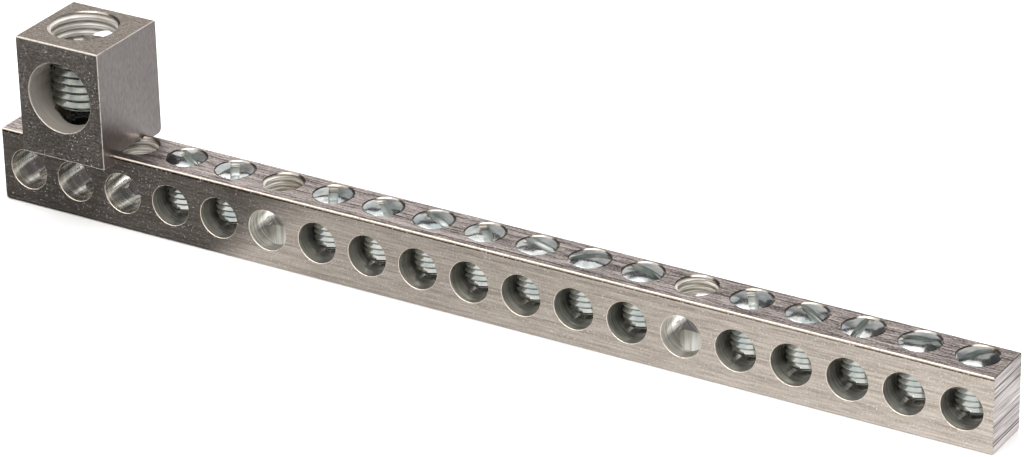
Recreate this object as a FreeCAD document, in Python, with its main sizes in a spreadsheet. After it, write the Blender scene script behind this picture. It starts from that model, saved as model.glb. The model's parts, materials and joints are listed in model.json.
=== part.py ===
import FreeCAD, Part
import os
import Sketcher
from FreeCAD import Placement, Rotation, Vector

# Ground bar for an equipment rack: a drilled and tapped aluminium bar with slotted clamp screws
# and a box lug for the incoming earth wire.
# Millimetres. The origin is midway between the two mounting holes on the bar's underside, +X runs
# along the bar away from the lug, +Z is up and the wires go in from the -Y side.

doc = FreeCAD.newDocument("GroundBar")

# Driving sizes: alias, value, meaning
DRIVING = [
    ("hole_pitch", 8.73125, "spacing of the wire holes along the bar, 11/32 in"),
    ("hole_count", 19, "wire holes along the bar"),
    ("lug_hole", 2, "hole number that the lug is screwed down over"),
    ("first_terminal", 4, "first hole number with a clamp screw"),
    ("mount_first", 6, "hole number of the first mounting hole"),
    ("mount_last", 14, "hole number of the second mounting hole"),
    ("end_margin", 4.7625, "from the last hole's axis to the bar's sawn end"),
    ("front_wall", 1.675, "metal in front of the tapped holes"),
    ("back_wall", 0.475, "metal behind the tapped holes"),
    ("wire_floor", 2.7, "metal under the wire holes"),
    ("wire_hole_d", 6.5, "wire hole diameter"),
    ("wire_roof", 2.7, "metal over the wire holes, which carries the thread"),
    ("wire_mouth", 0.12, "chamfer at the wire holes' mouths"),
    ("top_edge", 0.3, "radius of the bar's upper long edges"),
    ("base_edge", 0.5, "radius of the bar's lower long edges"),
    ("mount_hole_d", 5.2, "clearance hole through the floor at the mounting holes"),
    ("screw_d", 6.35, "clamp screw thread, outside diameter, 1/4 in"),
    ("thread_clearance", 0.05, "radial clearance between each screw and its hole"),
    ("tap_mouth", 0.1, "countersink at the tapped holes' mouths"),
    ("tip_gap", 1.25, "from the wire hole's floor up to the clamp screw's tip"),
    ("tip_chamfer", 0.8, "45 degree chamfer at the clamp screw's tip"),
    ("dome_proud", 0.45, "clamp screw's domed end above the bar's top"),
    ("dome_rise", 0.55, "height of the domed end"),
    ("dome_inset", 0.2, "from the thread's outside in to the dome's rim, a 45 degree lead"),
    ("slot_w", 1.4, "screwdriver slot width"),
    ("slot_depth", 1.5, "screwdriver slot depth, from the top of the dome"),
    ("lug_w", 15.0, "lug width along the bar"),
    ("lug_front_lip", 2.55, "lug lip thickness in front of the bar"),
    ("lug_back_lip", 3.8, "lug lip thickness behind the bar"),
    ("front_lip_drop", 1.4, "how far the front lip hangs below the bar's top"),
    ("back_lip_drop", 1.1, "how far the back lip hangs below the bar's top"),
    ("saddle_clearance", 0.05, "clearance between the lug's lips and the bar"),
    ("lug_floor", 3.2, "metal under the lug's wire hole"),
    ("lug_wire_d", 11.3, "lug wire hole diameter"),
    ("lug_roof", 3.0, "metal over the lug's wire hole"),
    ("lug_wire_mouth", 0.15, "chamfer at the lug wire hole's mouths"),
    ("lug_heel", 0.9, "radius under the back lip"),
    ("lug_crown", 0.4, "radius of the lug's top back edge"),
    ("lug_brow", 0.2, "radius of the lug's front edges"),
    ("set_screw_d", 11.1125, "lug screw thread, outside diameter, 7/16 in"),
    ("set_screw_right", -0.7, "lug screw's axis from the lug hole's axis, along the bar"),
    ("set_screw_back", 0.7, "lug screw's axis from the clamp screws' line, towards the back"),
    ("set_screw_sunk", 3.8, "from the lug's top down to the lug screw's top"),
    ("set_tip_gap", 2.0, "from the lug wire hole's floor up to the lug screw's tip"),
    ("set_tip_chamfer", 0.9, "45 degree chamfer at the lug screw's tip"),
    ("set_top_chamfer", 0.5, "45 degree chamfer at the lug screw's top"),
    ("set_reach", 1.27, "one turn of thread left below the lug screw"),
    ("set_mouth", 0.15, "countersink at the lug's tapped mouth"),
    ("set_slot_w", 1.8, "lug screw's slot width"),
    ("set_slot_depth", 2.2, "lug screw's slot depth"),
    ("set_slot_angle", 140, "lug screw's slot direction in degrees"),
    ("access_d", 9.9, "tap drill through the lug's floor, down to the fixing screw's seat"),
    ("seat_floor", 1.5, "metal under the fixing screw's head"),
    ("head_clearance", 0.1, "radial clearance around the fixing screw's head"),
    ("head_height", 1.5, "fixing screw's head height"),
    ("head_slot_depth", 0.8, "fixing screw's slot depth"),
    ("fixing_clearance", 0.15, "radial clearance of the fixing screw in the lug's floor"),
    ("fixing_tip", 0.8, "how far the fixing screw's tip shows below the wire hole's roof"),
    ("overcut", 0.5, "how far a cutting profile runs past the face it starts from"),
]

# Screwdriver slot directions as the screws were left, in degrees from +X
SLOT_ANGLES = {4: -33, 5: -57, 7: -58, 8: -43, 9: -22, 10: -49, 11: -12,
               12: 37, 13: -14, 15: -56, 16: -32, 17: 92, 18: 6, 19: 58}

sheet = doc.addObject("Spreadsheet::Sheet", "Sizes")
slot_rows = [(f"slot_angle_{n:02d}", angle, f"slot direction at hole {n}")
             for n, angle in SLOT_ANGLES.items()]
for row, (alias, size, meaning) in enumerate(DRIVING + slot_rows, start=1):
    sheet.set(f"A{row}", alias)
    sheet.set(f"B{row}", str(size))
    sheet.set(f"C{row}", meaning)
    sheet.setAlias(f"B{row}", alias)
doc.recompute()


def value(formula):
    """Number that a formula over the sheet gives."""
    return float(sheet.evalExpression(str(formula)))


def hole_x(number):
    """Formula for a hole's place along the bar."""
    return f"((({number}) - (Sizes.mount_first + Sizes.mount_last) / 2) * Sizes.hole_pitch)"


# Places that follow from the driving sizes, as formulas
TAP_R = "(Sizes.screw_d / 2 + Sizes.thread_clearance)"
FRONT_Y = f"(-{TAP_R} - Sizes.front_wall)"
BACK_Y = f"({TAP_R} + Sizes.back_wall)"
WIRE_Z = "(Sizes.wire_floor + Sizes.wire_hole_d / 2)"
ROOF_Z = "(Sizes.wire_floor + Sizes.wire_hole_d)"
BAR_TOP = f"({ROOF_Z} + Sizes.wire_roof)"
FIRST_X = hole_x(1)
LUG_X = hole_x("Sizes.lug_hole")
ROW_LENGTH = "((round(Sizes.hole_count) - 1) * Sizes.hole_pitch)"
TIP_Z = "(Sizes.wire_floor + Sizes.tip_gap)"
SCREW_LENGTH = f"({BAR_TOP} + Sizes.dome_proud - {TIP_Z})"
TAP_DEPTH = f"({BAR_TOP} - {TIP_Z} - Sizes.tip_chamfer + Sizes.thread_clearance)"
LUG_FRONT = f"({FRONT_Y} - Sizes.saddle_clearance - Sizes.lug_front_lip)"
LUG_BACK = f"({BACK_Y} + Sizes.saddle_clearance + Sizes.lug_back_lip)"
LUG_FLOOR_Z = f"({BAR_TOP} + Sizes.lug_floor)"
LUG_WIRE_Z = f"({LUG_FLOOR_Z} + Sizes.lug_wire_d / 2)"
LUG_TOP = f"({LUG_FLOOR_Z} + Sizes.lug_wire_d + Sizes.lug_roof)"
SET_X = f"({LUG_X} + Sizes.set_screw_right)"
SET_R = "(Sizes.set_screw_d / 2 + Sizes.thread_clearance)"
SET_TIP_Z = f"({LUG_FLOOR_Z} + Sizes.set_tip_gap)"
SET_LENGTH = f"({LUG_TOP} - Sizes.set_screw_sunk - {SET_TIP_Z})"
SET_REACH_Z = f"({SET_TIP_Z} + Sizes.set_tip_chamfer - Sizes.set_reach)"
SET_TAP_DEPTH = f"({LUG_TOP} - {SET_REACH_Z} + Sizes.thread_clearance)"
SEAT_Z = f"({BAR_TOP} + Sizes.seat_floor)"
OFF_AXIS = "sqrt(Sizes.set_screw_right ^ 2 + Sizes.set_screw_back ^ 2)"
HEAD_R = f"(Sizes.access_d / 2 - {OFF_AXIS} - Sizes.head_clearance)"


def new_body(label):
    return doc.addObject("PartDesign::Body", label)


def origin_feature(body, role):
    return next(f for f in body.Origin.OriginFeatures if f.Role == role)


def sketch_on(body, name, plane, offset):
    """Sketch on one of the body's own planes, moved by three formulas in that plane's axes."""
    sketch = body.newObject("Sketcher::SketchObject", name)
    sketch.AttachmentSupport = [(origin_feature(body, plane), "")]
    sketch.MapMode = "FlatFace"
    for axis, formula in zip("xyz", offset):
        sketch.setExpression(f".AttachmentOffset.Base.{axis}", str(formula))
    return sketch


def hold_point(sketch, edge, end, name, place):
    """Fixes one end of a sketch edge at a place given by two formulas."""
    for kind, axis, formula in zip(("DistanceX", "DistanceY"), "xy", place):
        number = sketch.addConstraint(Sketcher.Constraint(kind, -1, 1, edge, end, value(formula)))
        sketch.renameConstraint(number, f"{name}_{axis}")
        sketch.setExpression(f".Constraints.{name}_{axis}", str(formula))


def outline(sketch, places, domed=None):
    """Closed outline through places, each a name and two formulas. Its edges are straight, apart from
    the one that starts at the domed place: an arc up to the sketch's V axis, centred on that axis."""
    spots = [Vector(value(x), value(y), 0) for _, x, y in places]
    count = len(places)
    for i, (name, _, _) in enumerate(places):
        start = spots[i]
        end = spots[(i + 1) % count]
        if name == domed:
            rise = end.y - start.y
            ball_r = (start.x ** 2 + rise ** 2) / (2 * rise)
            centre = Vector(0, end.y - ball_r, 0)
            shoulder = centre + ((start + end) * 0.5 - centre).normalize() * ball_r
            edge = Part.Arc(start, shoulder, end)
        else:
            edge = Part.LineSegment(start, end)
        sketch.addGeometry(edge, False)
    for i, (name, x, y) in enumerate(places):
        sketch.addConstraint(Sketcher.Constraint("Coincident", i, 2, (i + 1) % count, 1))
        hold_point(sketch, i, 1, name, (x, y))
        if name == domed:
            sketch.addConstraint(Sketcher.Constraint("PointOnObject", i, 3, -2))


def round_spot(sketch, name, place, diameter):
    """Circle at a place given by two formulas, with its diameter as a third."""
    middle = Vector(value(place[0]), value(place[1]), 0)
    circle = sketch.addGeometry(Part.Circle(middle, Vector(0, 0, 1), value(diameter) / 2), False)
    hold_point(sketch, circle, 3, name, place)
    number = sketch.addConstraint(Sketcher.Constraint("Diameter", circle, value(diameter)))
    sketch.renameConstraint(number, f"{name}_d")
    sketch.setExpression(f".Constraints.{name}_d", str(diameter))


def pad(body, sketch, name, length):
    feature = body.newObject("PartDesign::Pad", name)
    feature.Profile = sketch
    feature.setExpression("Length", length)
    doc.recompute()
    return feature


def spin(body, kind, sketch, name, axis):
    """Full turn of a sketch about one of its own axes: a Revolution adds, a Groove cuts."""
    feature = body.newObject(f"PartDesign::{kind}", name)
    feature.Profile = sketch
    feature.ReferenceAxis = (sketch, [axis])
    feature.Angle = 360
    doc.recompute()
    return feature


def pocket(body, sketch, name, depth, upward=False):
    feature = body.newObject("PartDesign::Pocket", name)
    feature.Profile = sketch
    feature.Reversed = upward
    feature.setExpression("Length", depth)
    doc.recompute()
    return feature


def along_bar(body, feature, name):
    """Repeats a cut at every hole of the bar."""
    row = body.newObject("PartDesign::LinearPattern", name)
    row.Originals = [feature]
    row.Direction = (origin_feature(body, "X_Axis"), [""])
    row.setExpression("Length", ROW_LENGTH)
    row.setExpression("Occurrences", "round(Sizes.hole_count)")
    body.Tip = row
    doc.recompute()
    return row


def round_long_edges(body, feature, name, radius, wanted):
    """Rounds the edges that run along the bar and whose middle is one of the wanted (y, z) corners."""
    corners = [(value(y), value(z)) for y, z in wanted]
    names = []
    for number, edge in enumerate(feature.Shape.Edges, start=1):
        box = edge.BoundBox
        runs_along = box.XLength > 100 * (box.YLength + box.ZLength)
        middle = box.Center
        if runs_along and any(abs(middle.y - y) + abs(middle.z - z) < 1e-4 for y, z in corners):
            names.append(f"Edge{number}")
    fillet = body.newObject("PartDesign::Fillet", name)
    fillet.Base = (feature, names)
    fillet.setExpression("Radius", radius)
    doc.recompute()
    return fillet


def cross_hole(body, name, x, z, faces, diameter, chamfer):
    """Hole through the -Y and +Y faces with a chamfer at both mouths."""
    sketch = sketch_on(body, f"{name}_profile", "YZ_Plane", ("0", z, x))
    near, far = faces
    radius = f"({diameter} / 2)"
    reach = f"({radius} + {chamfer} + Sizes.overcut)"
    outline(sketch, [
        ("near_axis", f"{near} - Sizes.overcut", "0"),
        ("near_mouth", f"{near} - Sizes.overcut", reach),
        ("near_wall", f"{near} + {chamfer}", radius),
        ("far_wall", f"{far} - {chamfer}", radius),
        ("far_mouth", f"{far} + Sizes.overcut", reach),
        ("far_axis", f"{far} + Sizes.overcut", "0"),
    ])
    return spin(body, "Groove", sketch, name, "H_Axis")


def make_bar():
    body = new_body("bar")
    left_end = f"({FIRST_X} - Sizes.end_margin)"
    section = sketch_on(body, "bar_section", "YZ_Plane", ("0", "0", left_end))
    outline(section, [
        ("front_base", FRONT_Y, "0"),
        ("back_base", BACK_Y, "0"),
        ("back_top", BACK_Y, BAR_TOP),
        ("front_top", FRONT_Y, BAR_TOP),
    ])
    stock = pad(body, section, "bar_stock", f"{ROW_LENGTH} + 2 * Sizes.end_margin")
    upper = [(FRONT_Y, BAR_TOP), (BACK_Y, BAR_TOP)]
    lower = [(FRONT_Y, "0"), (BACK_Y, "0")]
    eased = round_long_edges(body, stock, "upper_edges", "Sizes.top_edge", upper)
    round_long_edges(body, eased, "lower_edges", "Sizes.base_edge", lower)

    wire_hole = cross_hole(body, "wire_hole", FIRST_X, WIRE_Z, (FRONT_Y, BACK_Y),
                           "Sizes.wire_hole_d", "Sizes.wire_mouth")
    along_bar(body, wire_hole, "wire_holes")

    # The tapped hole ends in a 90 degree drill point that just marks the wire hole's floor
    tapped = sketch_on(body, "tapped_profile", "XZ_Plane", (FIRST_X, BAR_TOP, "0"))
    outline(tapped, [
        ("axis_top", "0", "Sizes.overcut"),
        ("mouth", f"{TAP_R} + Sizes.tap_mouth + Sizes.overcut", "Sizes.overcut"),
        ("wall_top", TAP_R, "-Sizes.tap_mouth"),
        ("wall_end", TAP_R, f"-{TAP_DEPTH}"),
        ("point", "0", f"-{TAP_DEPTH} - {TAP_R}"),
    ])
    tapped_hole = spin(body, "Groove", tapped, "tapped_hole", "V_Axis")
    along_bar(body, tapped_hole, "tapped_holes")

    mounts = sketch_on(body, "mount_circles", "XY_Plane", ("0", "0", "0"))
    round_spot(mounts, "first", (hole_x("Sizes.mount_first"), "0"), "Sizes.mount_hole_d")
    round_spot(mounts, "last", (hole_x("Sizes.mount_last"), "0"), "Sizes.mount_hole_d")
    pocket(body, mounts, "mount_holes", WIRE_Z, upward=True)
    return body


def make_lug():
    body = new_body("lug")
    left_face = f"({LUG_X} - Sizes.lug_w / 2)"
    section = sketch_on(body, "lug_section", "YZ_Plane", ("0", "0", left_face))
    front_lip_z = f"({BAR_TOP} - Sizes.front_lip_drop)"
    back_lip_z = f"({BAR_TOP} - Sizes.back_lip_drop)"
    saddle_front = f"({FRONT_Y} - Sizes.saddle_clearance)"
    saddle_back = f"({BACK_Y} + Sizes.saddle_clearance)"
    outline(section, [
        ("front_lip", LUG_FRONT, front_lip_z),
        ("front_lip_in", saddle_front, front_lip_z),
        ("saddle_front", saddle_front, BAR_TOP),
        ("saddle_back", saddle_back, BAR_TOP),
        ("back_lip_in", saddle_back, back_lip_z),
        ("back_lip", LUG_BACK, back_lip_z),
        ("back_top", LUG_BACK, LUG_TOP),
        ("front_top", LUG_FRONT, LUG_TOP),
    ])
    block = pad(body, section, "lug_block", "Sizes.lug_w")
    heel = round_long_edges(body, block, "heel", "Sizes.lug_heel", [(LUG_BACK, back_lip_z)])
    crown = round_long_edges(body, heel, "crown", "Sizes.lug_crown", [(LUG_BACK, LUG_TOP)])
    round_long_edges(body, crown, "brow", "Sizes.lug_brow",
                     [(LUG_FRONT, LUG_TOP), (LUG_FRONT, front_lip_z)])

    cross_hole(body, "lug_wire_hole", LUG_X, LUG_WIRE_Z, (LUG_FRONT, LUG_BACK),
               "Sizes.lug_wire_d", "Sizes.lug_wire_mouth")

    # Tapped from the top, then the tap drill's own size down to the fixing screw's seat
    bore = sketch_on(body, "lug_bore_profile", "XZ_Plane", (SET_X, LUG_TOP, "-Sizes.set_screw_back"))
    access_r = "(Sizes.access_d / 2)"
    outline(bore, [
        ("axis_top", "0", "Sizes.overcut"),
        ("mouth", f"{SET_R} + Sizes.set_mouth + Sizes.overcut", "Sizes.overcut"),
        ("wall_top", SET_R, "-Sizes.set_mouth"),
        ("wall_end", SET_R, f"-{SET_TAP_DEPTH}"),
        ("drill_top", access_r, f"-{SET_TAP_DEPTH} - ({SET_R} - {access_r})"),
        ("seat_rim", access_r, f"{SEAT_Z} - {LUG_TOP}"),
        ("seat", "0", f"{SEAT_Z} - {LUG_TOP}"),
    ])
    spin(body, "Groove", bore, "lug_bore", "V_Axis")

    fixing = sketch_on(body, "fixing_circle", "XY_Plane", ("0", "0", BAR_TOP))
    round_spot(fixing, "fixing", (LUG_X, "0"), "Sizes.screw_d + 2 * Sizes.fixing_clearance")
    pocket(body, fixing, "fixing_hole", "Sizes.seat_floor", upward=True)
    return body


def cut_slot(body, label, top, width, radius, depth):
    """Screwdriver slot right across the top of a screw, along its own X."""
    sketch = sketch_on(body, f"{label}_slot_outline", "XY_Plane", ("0", "0", top))
    end = f"({radius} + Sizes.overcut)"
    outline(sketch, [
        ("left_front", f"-{end}", f"-{width} / 2"),
        ("right_front", end, f"-{width} / 2"),
        ("right_back", end, f"{width} / 2"),
        ("left_back", f"-{end}", f"{width} / 2"),
    ])
    pocket(body, sketch, f"{label}_slot", depth)


def stand(body, x, y, z, angle):
    """Places a screw with its tip at x, y, z, turned about its axis."""
    body.Placement = Placement(Vector(0, 0, 0), Rotation(Vector(0, 0, 1), 1))
    for axis, formula in zip("xyz", (x, y, z)):
        body.setExpression(f"Placement.Base.{axis}", formula)
    body.setExpression("Placement.Rotation.Angle", angle)


def make_terminal_screw(number):
    label = f"terminal_screw_{number:02d}"
    body = new_body(label)
    radius = "(Sizes.screw_d / 2)"
    rim_r = f"({radius} - Sizes.dome_inset)"
    rim_z = f"({SCREW_LENGTH} - Sizes.dome_rise)"
    profile = sketch_on(body, f"{label}_profile", "XZ_Plane", ("0", "0", "0"))
    outline(profile, [
        ("tip", "0", "0"),
        ("tip_edge", f"{radius} - Sizes.tip_chamfer", "0"),
        ("thread_low", radius, "Sizes.tip_chamfer"),
        ("thread_top", radius, f"{rim_z} - Sizes.dome_inset"),
        ("rim", rim_r, rim_z),
        ("crest", "0", SCREW_LENGTH),
    ], domed="rim")
    spin(body, "Revolution", profile, f"{label}_shank", "V_Axis")
    cut_slot(body, label, SCREW_LENGTH, "Sizes.slot_w", radius, "Sizes.slot_depth")
    stand(body, hole_x(number), "0", TIP_Z, f"Sizes.slot_angle_{number:02d}")
    return body


def make_lug_set_screw():
    label = "lug_set_screw"
    body = new_body(label)
    radius = "(Sizes.set_screw_d / 2)"
    profile = sketch_on(body, f"{label}_profile", "XZ_Plane", ("0", "0", "0"))
    outline(profile, [
        ("tip", "0", "0"),
        ("tip_edge", f"{radius} - Sizes.set_tip_chamfer", "0"),
        ("thread_low", radius, "Sizes.set_tip_chamfer"),
        ("thread_top", radius, f"{SET_LENGTH} - Sizes.set_top_chamfer"),
        ("top_edge", f"{radius} - Sizes.set_top_chamfer", SET_LENGTH),
        ("top", "0", SET_LENGTH),
    ])
    spin(body, "Revolution", profile, f"{label}_shank", "V_Axis")
    cut_slot(body, label, SET_LENGTH, "Sizes.set_slot_w", radius, "Sizes.set_slot_depth")
    stand(body, SET_X, "Sizes.set_screw_back", SET_TIP_Z, "Sizes.set_slot_angle")
    return body


def make_lug_fixing_screw():
    label = "lug_fixing_screw"
    body = new_body(label)
    radius = "(Sizes.screw_d / 2)"
    tip_z = f"({ROOF_Z} - Sizes.fixing_tip)"
    seat = f"({SEAT_Z} - {tip_z})"
    profile = sketch_on(body, f"{label}_profile", "XZ_Plane", ("0", "0", "0"))
    outline(profile, [
        ("tip", "0", "0"),
        ("tip_edge", f"{radius} - Sizes.tip_chamfer", "0"),
        ("thread_low", radius, "Sizes.tip_chamfer"),
        ("thread_top", radius, seat),
        ("head_seat", HEAD_R, seat),
        ("head_edge", HEAD_R, f"{seat} + Sizes.head_height"),
        ("head_top", "0", f"{seat} + Sizes.head_height"),
    ])
    spin(body, "Revolution", profile, f"{label}_shank", "V_Axis")
    cut_slot(body, label, f"{seat} + Sizes.head_height", "Sizes.slot_w", HEAD_R,
             "Sizes.head_slot_depth")
    stand(body, LUG_X, "0", tip_z, "0")
    return body


mount_holes = {round(value("Sizes.mount_first")), round(value("Sizes.mount_last"))}
holes = range(round(value("Sizes.first_terminal")), round(value("Sizes.hole_count")) + 1)
terminals = [n for n in holes if n not in mount_holes and n in SLOT_ANGLES]

parts = [make_bar(), make_lug(), make_lug_set_screw(), make_lug_fixing_screw()]
parts += [make_terminal_screw(n) for n in terminals]
doc.recompute()

faults = [o.Label for o in doc.Objects if {"Invalid", "Error"} & set(o.State)]
faults += [p.Label for p in parts if p.Shape.isNull() or not p.Shape.isValid()]
faults += [p.Label for p in parts if len(p.Shape.Solids) != 1]
if faults:
    raise RuntimeError(f"these did not build: {sorted(set(faults))}")

os.makedirs("parts", exist_ok=True)
for part in parts:
    part.Shape.exportStep(f"parts/{part.Label}.step")
    box = part.Shape.BoundBox
    print(f"{part.Label}: {part.Shape.Volume:.1f} mm3,"
          f" x {box.XMin:.2f} to {box.XMax:.2f},"
          f" y {box.YMin:.2f} to {box.YMax:.2f},"
          f" z {box.ZMin:.2f} to {box.ZMax:.2f}")
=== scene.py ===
# %% [markdown]
# # A ground bar and its clamp screws
# A ground bar gathers the earth wires of a rack on one length of aluminium. Each wire goes into a cross
# hole and a slotted screw comes down on it from above, and the heavy wire goes into the box lug.
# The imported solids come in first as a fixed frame: every place below is read from them or set beside
# them, so nothing has to be fitted by eye afterwards.

# %% The fixed frame
import json
import math

import bmesh
import bpy
from mathutils import Matrix, Vector


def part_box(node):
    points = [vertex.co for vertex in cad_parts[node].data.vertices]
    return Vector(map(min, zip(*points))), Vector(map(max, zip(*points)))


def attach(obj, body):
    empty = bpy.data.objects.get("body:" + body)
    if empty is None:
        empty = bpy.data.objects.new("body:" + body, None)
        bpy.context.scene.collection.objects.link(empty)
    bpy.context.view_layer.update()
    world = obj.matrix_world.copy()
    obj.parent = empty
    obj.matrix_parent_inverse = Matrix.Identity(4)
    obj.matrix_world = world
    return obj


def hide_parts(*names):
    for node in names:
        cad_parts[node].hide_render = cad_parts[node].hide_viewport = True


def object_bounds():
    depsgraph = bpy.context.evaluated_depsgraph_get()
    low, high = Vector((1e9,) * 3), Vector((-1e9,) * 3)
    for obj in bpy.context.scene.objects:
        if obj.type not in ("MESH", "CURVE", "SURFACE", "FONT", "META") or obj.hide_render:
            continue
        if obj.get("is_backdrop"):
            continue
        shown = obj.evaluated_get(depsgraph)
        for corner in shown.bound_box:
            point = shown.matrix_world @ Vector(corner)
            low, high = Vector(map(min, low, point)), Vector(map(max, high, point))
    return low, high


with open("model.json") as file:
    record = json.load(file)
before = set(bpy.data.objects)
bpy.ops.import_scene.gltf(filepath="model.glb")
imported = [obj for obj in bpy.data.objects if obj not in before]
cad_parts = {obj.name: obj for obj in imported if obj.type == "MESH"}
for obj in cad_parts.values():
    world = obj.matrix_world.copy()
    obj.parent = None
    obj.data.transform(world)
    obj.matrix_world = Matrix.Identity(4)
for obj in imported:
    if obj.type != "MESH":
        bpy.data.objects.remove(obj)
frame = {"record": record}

MM = 0.001
cad_box = [list(corner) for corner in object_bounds()]

# %% [markdown]
# ## Sizes
# The boxes of the solids, and the mounts in the record, give the outer faces, the hole spacing and the
# two wire heights. What a box can't show, such as a hole's radius, is named where it is first needed.
# Lengths are in millimetres, because the parts are small and the cutting tools below work best near 1.

# %% Sizes read from the frame


def box_mm(node):
    """Lowest and highest corner of a node, in millimetres."""
    return [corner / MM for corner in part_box(node)]


bar_low, bar_high = box_mm("bar")
lug_low, lug_high = box_mm("lug")
mounts = {mount["name"]: mount for mount in frame["record"]["mounts"]}
FIRST_MOUNT, LAST_MOUNT = 6, 14
HOLE_COUNT = 19
MOUNT_SPACING = mounts["mounting_holes"]["dims"]["spacing_x_mm"]
HOLE_PITCH = MOUNT_SPACING / (LAST_MOUNT - FIRST_MOUNT)
WIRE_Z = mounts["wire_terminals"]["pos_m"][2] / MM
LUG_X, _, LUG_WIRE_Z = (place / MM for place in mounts["lug_terminal"]["pos_m"])
print(f"pitch {HOLE_PITCH:.3f} mm, wire holes {WIRE_Z:.2f} mm up, lug wire hole {LUG_WIRE_Z:.2f} mm up")


def hole_x(number):
    """Place of a hole along the bar."""
    return (number - (FIRST_MOUNT + LAST_MOUNT) / 2) * HOLE_PITCH


# %% [markdown]
# ## The camera
# The photograph was taken with a long lens, a little to the right of the bar and from above. A camera on
# the same spot is found from three angles and the point that it looks at. The long focal length keeps
# the bar's long edges nearly parallel, as they are in the picture.

# %% Camera at the photograph's place
AZIMUTH, ELEVATION, ROLL = 31.55, 26.25, -1.20
AIM = Vector((4.486, 0.0, 13.55))
DISTANCE = 644.75
FOCAL_LENGTH = 157.69
NEAREST_SEEN = 0.01

turn = (Matrix.Rotation(math.radians(AZIMUTH), 4, "Z")
        @ Matrix.Rotation(math.radians(90 - ELEVATION), 4, "X")
        @ Matrix.Rotation(math.radians(ROLL), 4, "Z"))
lens = bpy.data.cameras.new("photo_camera")
lens.lens = FOCAL_LENGTH
lens.sensor_fit = "HORIZONTAL"
lens.clip_start = NEAREST_SEEN
camera = bpy.data.objects.new("photo_camera", lens)
back = turn.to_3x3() @ Vector((0, 0, 1))
camera.matrix_world = Matrix.Translation((AIM + back * DISTANCE) * MM) @ turn
bpy.context.scene.collection.objects.link(camera)
bpy.context.scene.camera = camera
print("camera at", [round(place / MM, 1) for place in camera.matrix_world.translation], "mm")

# %% [markdown]
# ## Small helpers
# Every material and every geometry tree below is built from nodes. One helper adds a node, gives it its
# settings and feeds its inputs with numbers or with other nodes' outputs. Another turns the colours,
# which are written as they would be picked on a screen, into the linear values that a shader works in.
# The last two turn sizes in millimetres into a pattern's scale, and start a new material.

# %% Helpers for nodes and colours


def add(tree, kind, *values, into=None, **settings):
    """Adds a node, sets it, feeds its inputs in order or by name, and gives its first output in use."""
    node = tree.nodes.new(kind)
    for name, setting in settings.items():
        setattr(node, name, setting)
    for key, value in [*enumerate(values), *(into or {}).items()]:
        for source in value if isinstance(value, list) else [value]:
            if isinstance(source, bpy.types.NodeSocket):
                tree.links.new(source, node.inputs[key])
            elif source is not None:
                node.inputs[key].default_value = source
    return next((output for output in node.outputs if output.enabled), None)


def linear(colour):
    """Linear red, green, blue and alpha of a colour written as sRGB hex."""
    parts = [int(colour[i:i + 2], 16) / 255 for i in (0, 2, 4)]
    return (*[p / 12.92 if p <= 0.04045 else ((p + 0.055) / 1.055) ** 2.4 for p in parts], 1.0)


def per_metre(*sizes):
    """How often patterns of these sizes in millimetres repeat in a metre."""
    return tuple(1 / (size * MM) for size in sizes)


def new_finish(name, metallic=1.0):
    """Starts a material, and gives it with its tree, its shader and its object coordinates."""
    material = bpy.data.materials.new(name)
    material.use_nodes = True
    tree = material.node_tree
    shader = tree.nodes["Principled BSDF"]
    shader.inputs["Metallic"].default_value = metallic
    place = tree.nodes.new("ShaderNodeTexCoord").outputs["Object"]
    return material, tree, shader, place


print("a pattern of 2 mm has the scale", per_metre(2.0)[0])

# %% [markdown]
# ## Extruded aluminium
# The bar and the lug were pushed through a die, which leaves a satin skin drawn out lengthwise: fine
# lines that run the whole bar, short streaks between them and a peppering of small pits. Stretched noise
# draws all three, because a real die line has no repeat. Handling has knocked bare flecks into the skin,
# which stay light where the skin mirrors something dark, so they are less metallic than the rest. A thin
# dark line of painted shade runs along the bar, just under its top edge. The top has been slid on and is
# scuffed, so it takes the same recipe with shorter, narrower and deeper streaks. The lug hardly shows any
# lines: its streaks are so short that they look mottled, and its top is painted darker, as shade.

# %% Extruded aluminium finish
# Noise seldom leaves this range, so shades are stretched over it
NOISE_LOW, NOISE_HIGH = 0.3, 0.7
PIT_SIZE, PATCH_SIZE = 0.35, 9.0
FLECK_SIZE, FLECK_RIM, FLECK_METAL = 0.27, 0.06, 0.45
# The painted shade line under the bar's top edge: its depth below the top, its width and its darkness
DARK_LINE_DROP, DARK_LINE_WIDTH, DARK_LINE_SHADE = 0.42, 0.15, -1.5
SATIN_GLOSS, SATIN_DULL = 0.30, 0.42


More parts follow.
